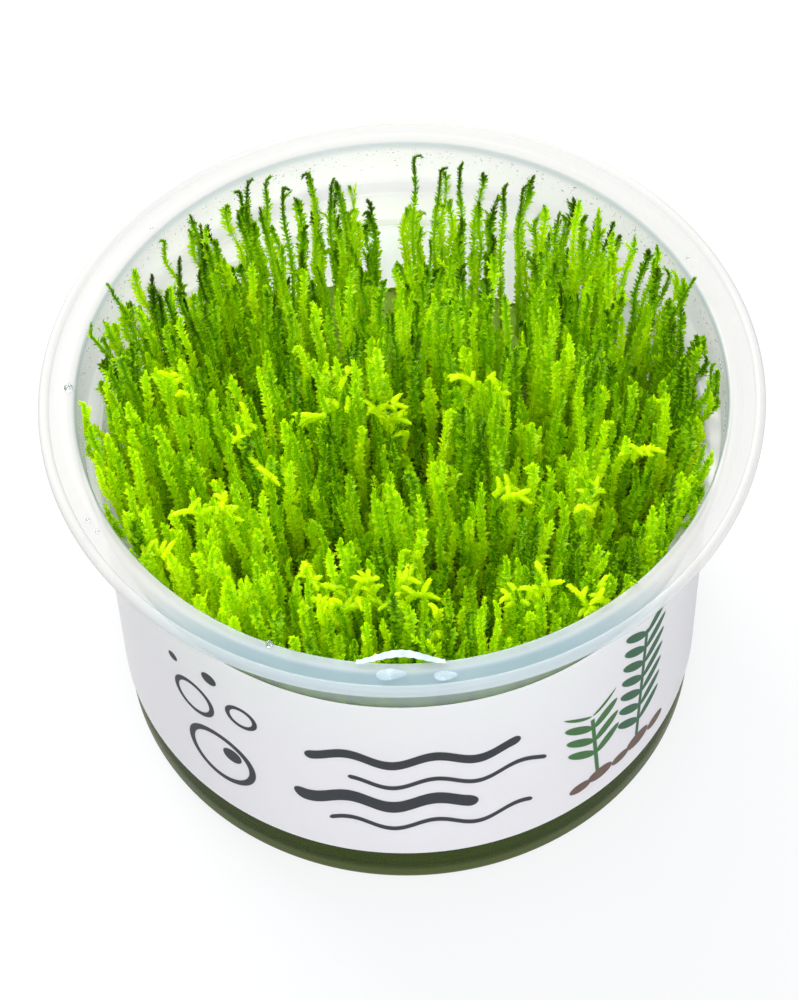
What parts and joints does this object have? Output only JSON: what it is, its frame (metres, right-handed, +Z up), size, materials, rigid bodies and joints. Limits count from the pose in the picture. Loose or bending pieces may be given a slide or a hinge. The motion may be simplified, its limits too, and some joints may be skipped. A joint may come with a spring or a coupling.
{
  "type": "taxiphyllum moss tissue culture cup",
  "caption": "Low clear plastic cup with a wide flange and wrapped label, filled with upright aquarium moss shoots on nutrient gel.",
  "frame": {"origin": "on the cup's axis, on the surface that its flat base stands on", "axes": "+Z up along the cup's axis, -Y towards the front, where the remains of the lidding film are"},
  "size_m": [0.1, 0.1, 0.0657],
  "materials": {
    "cup_plastic": "clear moulded polypropylene, slightly milky",
    "label_film": "satin white printed film",
    "gel": "cloudy olive jelly with old stems in it",
    "moss_leaf": "fresh green leaves, slightly shiny, that let light through",
    "lidding_film": "white torn film with a soft shine"
  },
  "bodies": {
    "root": {"cup": "cup_plastic", "label": "label_film", "nutrient_gel": "gel", "moss": "moss_leaf", "seal_film_strip": "lidding_film", "seal_film_flake_left": "lidding_film", "seal_film_flake_right": "lidding_film"}
  },
  "joints": []
}
